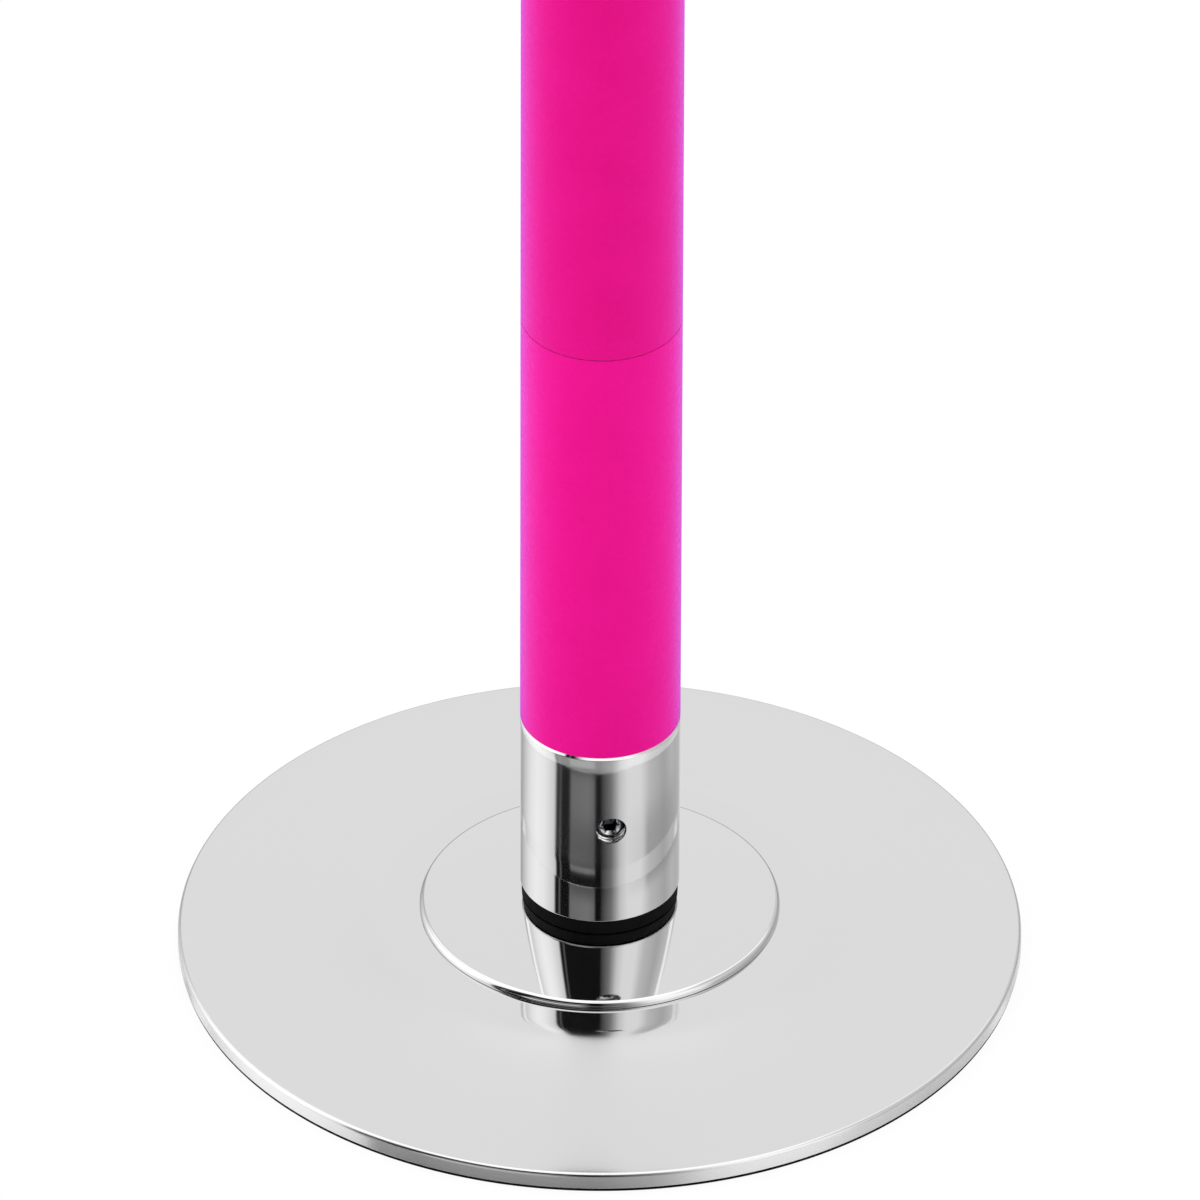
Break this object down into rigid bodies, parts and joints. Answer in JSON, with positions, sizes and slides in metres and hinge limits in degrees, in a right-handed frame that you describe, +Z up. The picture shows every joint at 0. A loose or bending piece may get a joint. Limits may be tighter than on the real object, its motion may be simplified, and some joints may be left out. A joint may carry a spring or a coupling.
{
  "type": "dance pole",
  "caption": "Floor-to-ceiling spinning dance pole with dished foot and ceiling plates, sleeved screw-together sections, a lock screw and a threaded height adjuster.",
  "frame": {"origin": "centre of the floor pad's underside, on the pole's axis", "axes": "+Z up along the pole towards the ceiling; the lock screw's hole is on the -Y side, turned 8.3 degrees towards +X"},
  "size_m": [0.238, 0.238, 2.2864],
  "materials": {
    "chrome_plate": "mirror polished",
    "silicone_sleeve": "satin",
    "pad_rubber": "matte",
    "turned_steel": "turned, zinc plated",
    "bearing_steel": "ground and polished",
    "brass": "satin",
    "black_oxide_steel": "blackened"
  },
  "bodies": {
    "base": {"floor_pad": "pad_rubber", "base_plate": "chrome_plate", "base_backing_disc": "turned_steel", "base_cover": "chrome_plate", "base_hub": "turned_steel", "base_spindle_nut": "turned_steel", "base_dust_seal": "pad_rubber", "base_bolt_1": "black_oxide_steel", "base_bolt_2": "black_oxide_steel", "base_bolt_3": "black_oxide_steel", "foot_lower_bearing_inner_race": "bearing_steel", "foot_upper_bearing_inner_race": "bearing_steel"},
    "foot_lower_cage": {"foot_lower_bearing_ball_cage": "brass"},
    "foot_upper_cage": {"foot_upper_bearing_ball_cage": "brass"},
    "pole": {"foot_collar": "chrome_plate", "foot_lower_bearing_outer_race": "bearing_steel", "foot_upper_bearing_outer_race": "bearing_steel", "foot_tube": "turned_steel", "foot_sleeve": "silicone_sleeve", "section_1_tube": "turned_steel", "section_1_sleeve": "silicone_sleeve", "section_2_tube": "turned_steel", "section_2_sleeve": "silicone_sleeve", "section_3_tube": "turned_steel", "section_3_sleeve": "silicone_sleeve", "head_tube": "turned_steel", "head_sleeve": "silicone_sleeve", "joint_plug_1": "turned_steel", "joint_plug_2": "turned_steel", "joint_plug_3": "turned_steel", "joint_plug_4": "turned_steel", "joint_socket_1": "turned_steel", "joint_socket_2": "turned_steel", "joint_socket_3": "turned_steel", "joint_socket_4": "turned_steel", "head_cap": "chrome_plate", "thrust_washer": "brass"},
    "lock_screw": {"lock_screw": "black_oxide_steel"},
    "adjuster_nut": {"adjuster_nut": "chrome_plate"},
    "jack": {"jack_rod": "turned_steel", "rod_stop": "turned_steel", "ceiling_collar": "chrome_plate", "ceiling_upper_bearing_outer_race": "bearing_steel", "ceiling_lower_bearing_outer_race": "bearing_steel"},
    "ceiling_upper_cage": {"ceiling_upper_bearing_ball_cage": "brass"},
    "ceiling_lower_cage": {"ceiling_lower_bearing_ball_cage": "brass"},
    "ceiling": {"ceiling_pad": "pad_rubber", "ceiling_plate": "chrome_plate", "ceiling_backing_disc": "turned_steel", "ceiling_cover": "chrome_plate", "ceiling_hub": "turned_steel", "ceiling_spindle_nut": "turned_steel", "ceiling_dust_seal": "pad_rubber", "ceiling_bolt_1": "black_oxide_steel", "ceiling_bolt_2": "black_oxide_steel", "ceiling_bolt_3": "black_oxide_steel", "ceiling_upper_bearing_inner_race": "bearing_steel", "ceiling_lower_bearing_inner_race": "bearing_steel"}
  },
  "joints": [
    {"name": "pole_spin", "type": "hinge", "parent": "base", "child": "pole", "pos_m": [0, 0, 0.0467], "axis": [0, 0, 1], "continuous": true},
    {"name": "foot_lower_cage_roll", "type": "hinge", "parent": "base", "child": "foot_lower_cage", "pos_m": [0, 0, 0.0292], "axis": [0, 0, 1], "continuous": true},
    {"name": "foot_upper_cage_roll", "type": "hinge", "parent": "base", "child": "foot_upper_cage", "pos_m": [0, 0, 0.0639], "axis": [0, 0, 1], "continuous": true},
    {"name": "lock_drive", "type": "slide", "parent": "pole", "child": "lock_screw", "axis": [-0.1444, 0.9895, 0], "range_m": [0, 0.003]},
    {"name": "adjuster_turn", "type": "hinge", "parent": "pole", "child": "adjuster_nut", "pos_m": [0, 0, 2.1844], "axis": [0, 0, -1], "range_deg": [0, 5400]},
    {"name": "jack_lift", "type": "slide", "parent": "pole", "child": "jack", "axis": [0, 0, 1], "range_m": [0, 0.06]},
    {"name": "ceiling_spin", "type": "hinge", "parent": "jack", "child": "ceiling", "pos_m": [0, 0, 2.2397], "axis": [0, 0, 1], "continuous": true},
    {"name": "ceiling_upper_cage_roll", "type": "hinge", "parent": "jack", "child": "ceiling_upper_cage", "pos_m": [0, 0, 2.2572], "axis": [0, 0, 1], "continuous": true},
    {"name": "ceiling_lower_cage_roll", "type": "hinge", "parent": "jack", "child": "ceiling_lower_cage", "pos_m": [0, 0, 2.2225], "axis": [0, 0, 1], "continuous": true}
  ],
  "couplings": [
    {"joint": "foot_lower_cage_roll", "follows": "pole_spin", "ratio": 0.59123},
    {"joint": "foot_upper_cage_roll", "follows": "pole_spin", "ratio": 0.59123},
    {"joint": "adjuster_turn", "follows": "jack_lift", "rad_per_m": 1570.8},
    {"joint": "ceiling_upper_cage_roll", "follows": "ceiling_spin", "ratio": 0.40877},
    {"joint": "ceiling_lower_cage_roll", "follows": "ceiling_spin", "ratio": 0.40877}
  ]
}
